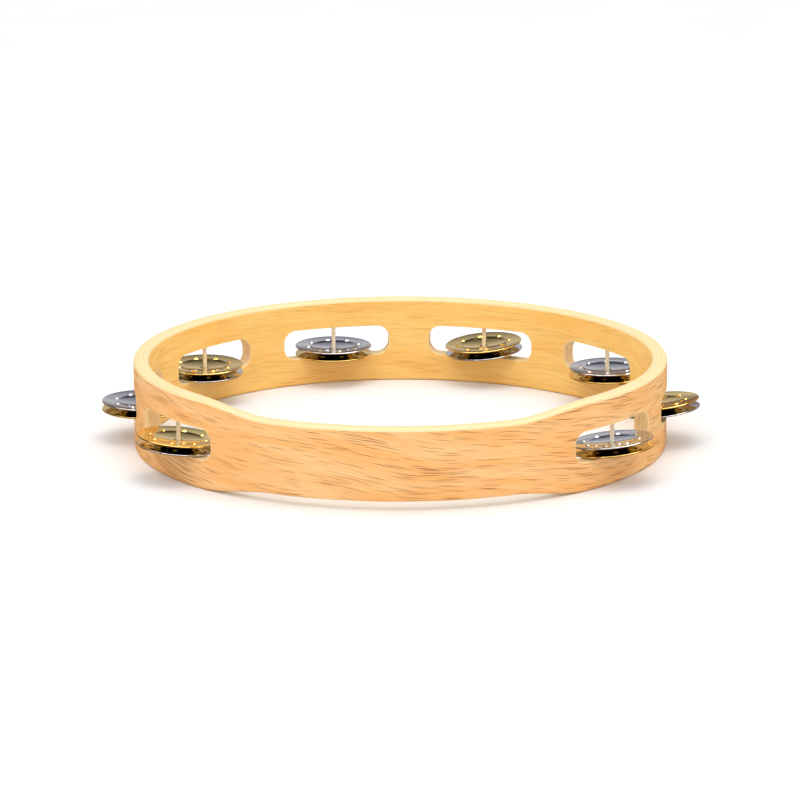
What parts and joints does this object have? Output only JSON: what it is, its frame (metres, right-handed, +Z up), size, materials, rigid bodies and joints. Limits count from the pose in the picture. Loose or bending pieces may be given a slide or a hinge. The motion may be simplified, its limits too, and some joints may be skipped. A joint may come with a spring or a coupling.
{
  "type": "tambourine",
  "caption": "Headless wooden hand tambourine: a bent ply hoop with a slimmed grip and slots that hold pairs of loose metal jingles on pins.",
  "frame": {"origin": "centre of the hoop on the plane that its lower edge rests on", "axes": "+Z up along the hoop's axis, the grip faces -Y, +X to the player's right when seen from the grip"},
  "size_m": [0.2859, 0.264, 0.0423],
  "materials": {
    "face_veneer": "satin lacquer over open-pored pale hardwood",
    "core_veneer": "satin lacquer",
    "lining_veneer": "satin lacquer",
    "pin_steel": "bright drawn steel",
    "jingle_steel": "polished, hammered",
    "jingle_brass": "polished, hammered"
  },
  "bodies": {
    "hoop": {"outer_ply": "face_veneer", "core_ply": "core_veneer", "inner_ply": "lining_veneer", "left_front_pin": "pin_steel", "left_pin": "pin_steel", "left_back_pin": "pin_steel", "back_left_pin": "pin_steel", "back_right_pin": "pin_steel", "right_back_pin": "pin_steel", "right_pin": "pin_steel", "right_front_pin": "pin_steel"},
    "left_front_lower": {"left_front_lower_jingle": "jingle_steel"},
    "left_front_upper": {"left_front_upper_jingle": "jingle_brass"},
    "left_lower": {"left_lower_jingle": "jingle_brass"},
    "left_upper": {"left_upper_jingle": "jingle_steel"},
    "left_back_lower": {"left_back_lower_jingle": "jingle_steel"},
    "left_back_upper": {"left_back_upper_jingle": "jingle_brass"},
    "back_left_lower": {"back_left_lower_jingle": "jingle_brass"},
    "back_left_upper": {"back_left_upper_jingle": "jingle_steel"},
    "back_right_lower": {"back_right_lower_jingle": "jingle_steel"},
    "back_right_upper": {"back_right_upper_jingle": "jingle_brass"},
    "right_back_lower": {"right_back_lower_jingle": "jingle_brass"},
    "right_back_upper": {"right_back_upper_jingle": "jingle_steel"},
    "right_lower": {"right_lower_jingle": "jingle_steel"},
    "right_upper": {"right_upper_jingle": "jingle_brass"},
    "right_front_lower": {"right_front_lower_jingle": "jingle_brass"},
    "right_front_upper": {"right_front_upper_jingle": "jingle_steel"}
  },
  "joints": [
    {"name": "left_front_lower_slide", "type": "slide", "parent": "hoop", "child": "left_front_lower", "axis": [0, 0, 1], "range_m": [0, 0.0034]},
    {"name": "left_front_upper_slide", "type": "slide", "parent": "left_front_lower", "child": "left_front_upper", "axis": [0, 0, 1], "range_m": [0, 0.0034]},
    {"name": "left_lower_slide", "type": "slide", "parent": "hoop", "child": "left_lower", "axis": [0, 0, 1], "range_m": [0, 0.0044]},
    {"name": "left_upper_slide", "type": "slide", "parent": "left_lower", "child": "left_upper", "axis": [0, 0, 1], "range_m": [0, 0.0044]},
    {"name": "left_back_lower_slide", "type": "slide", "parent": "hoop", "child": "left_back_lower", "axis": [0, 0, 1], "range_m": [0, 0.0042]},
    {"name": "left_back_upper_slide", "type": "slide", "parent": "left_back_lower", "child": "left_back_upper", "axis": [0, 0, 1], "range_m": [0, 0.0042]},
    {"name": "back_left_lower_slide", "type": "slide", "parent": "hoop", "child": "back_left_lower", "axis": [0, 0, 1], "range_m": [0, 0.0047]},
    {"name": "back_left_upper_slide", "type": "slide", "parent": "back_left_lower", "child": "back_left_upper", "axis": [0, 0, 1], "range_m": [0, 0.0047]},
    {"name": "back_right_lower_slide", "type": "slide", "parent": "hoop", "child": "back_right_lower", "axis": [0, 0, 1], "range_m": [0, 0.0028]},
    {"name": "back_right_upper_slide", "type": "slide", "parent": "back_right_lower", "child": "back_right_upper", "axis": [0, 0, 1], "range_m": [0, 0.0028]},
    {"name": "right_back_lower_slide", "type": "slide", "parent": "hoop", "child": "right_back_lower", "axis": [0, 0, 1], "range_m": [0, 0.0042]},
    {"name": "right_back_upper_slide", "type": "slide", "parent": "right_back_lower", "child": "right_back_upper", "axis": [0, 0, 1], "range_m": [0, 0.0042]},
    {"name": "right_lower_slide", "type": "slide", "parent": "hoop", "child": "right_lower", "axis": [0, 0, 1], "range_m": [0, 0.0033]},
    {"name": "right_upper_slide", "type": "slide", "parent": "right_lower", "child": "right_upper", "axis": [0, 0, 1], "range_m": [0, 0.0033]},
    {"name": "right_front_lower_slide", "type": "slide", "parent": "hoop", "child": "right_front_lower", "axis": [0, 0, 1], "range_m": [0, 0.0035]},
    {"name": "right_front_upper_slide", "type": "slide", "parent": "right_front_lower", "child": "right_front_upper", "axis": [0, 0, 1], "range_m": [0, 0.0035]}
  ]
}
